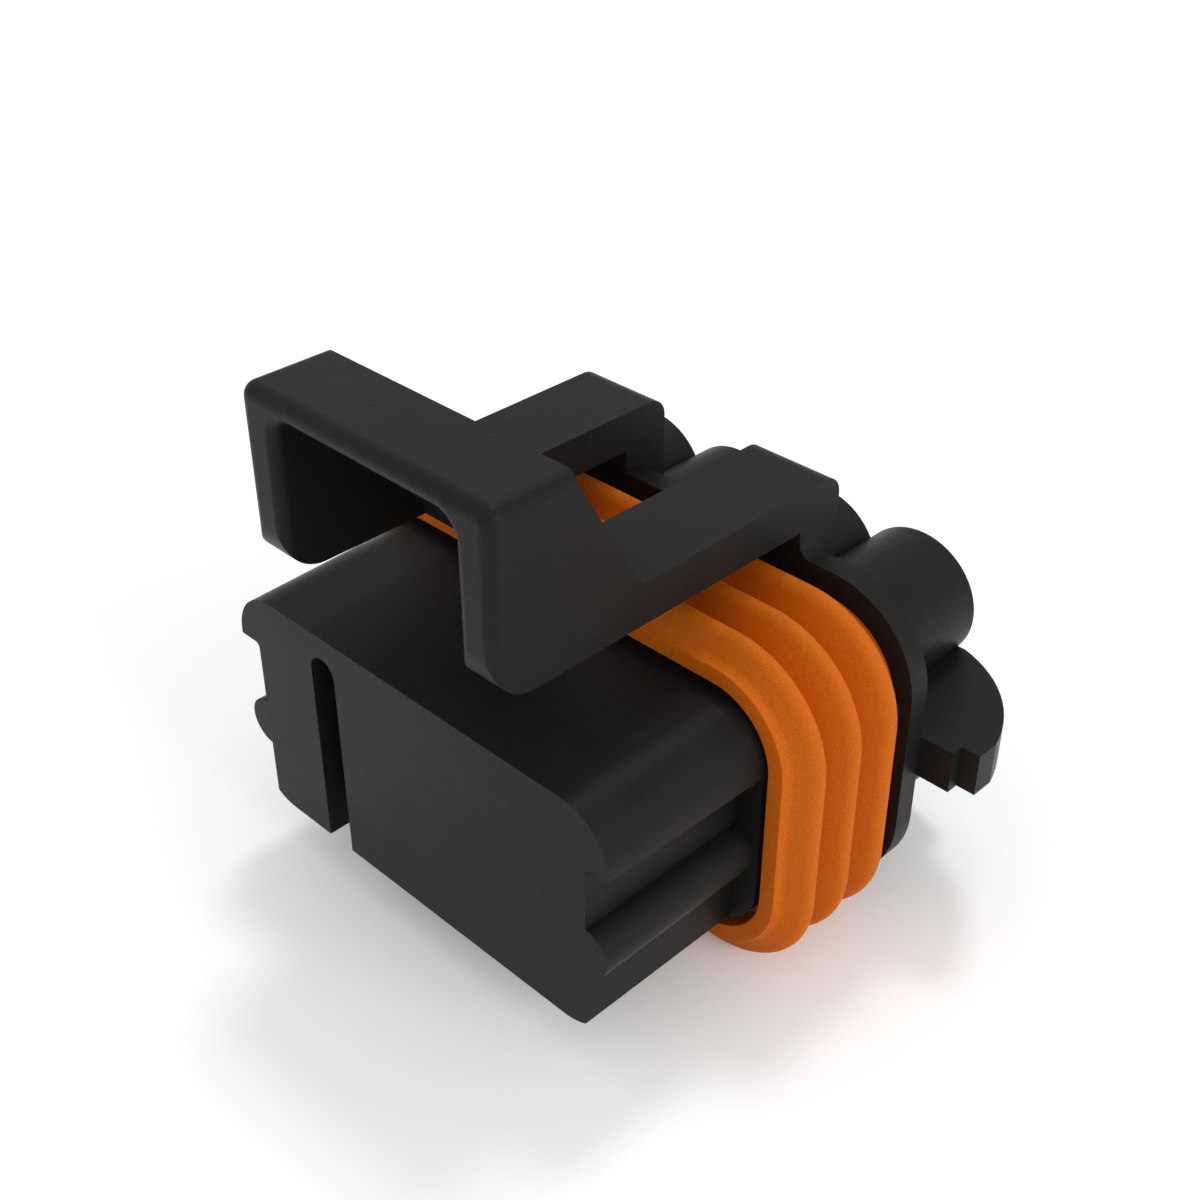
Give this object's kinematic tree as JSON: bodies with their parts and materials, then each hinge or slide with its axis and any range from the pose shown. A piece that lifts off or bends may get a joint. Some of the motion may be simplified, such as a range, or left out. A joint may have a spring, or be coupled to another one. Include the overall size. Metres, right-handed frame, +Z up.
{
  "type": "sealed connector housing",
  "caption": "Rectangular sealed plug housing in black plastic with round wire towers, a hooded lock on flexible arms, a key slot and an orange ribbed perimeter seal.",
  "frame": {"origin": "centre of the nose's flat front face", "axes": "-Y is the way the nose plugs in, +Z is up towards the lock, +X is to the right seen from the front"},
  "size_m": [0.0354, 0.0274, 0.0284],
  "materials": {
    "housing": "fine satin grain",
    "seal": "matt silicone"
  },
  "bodies": {
    "root": {"housing": "housing", "perimeter_seal": "seal"}
  },
  "joints": []
}
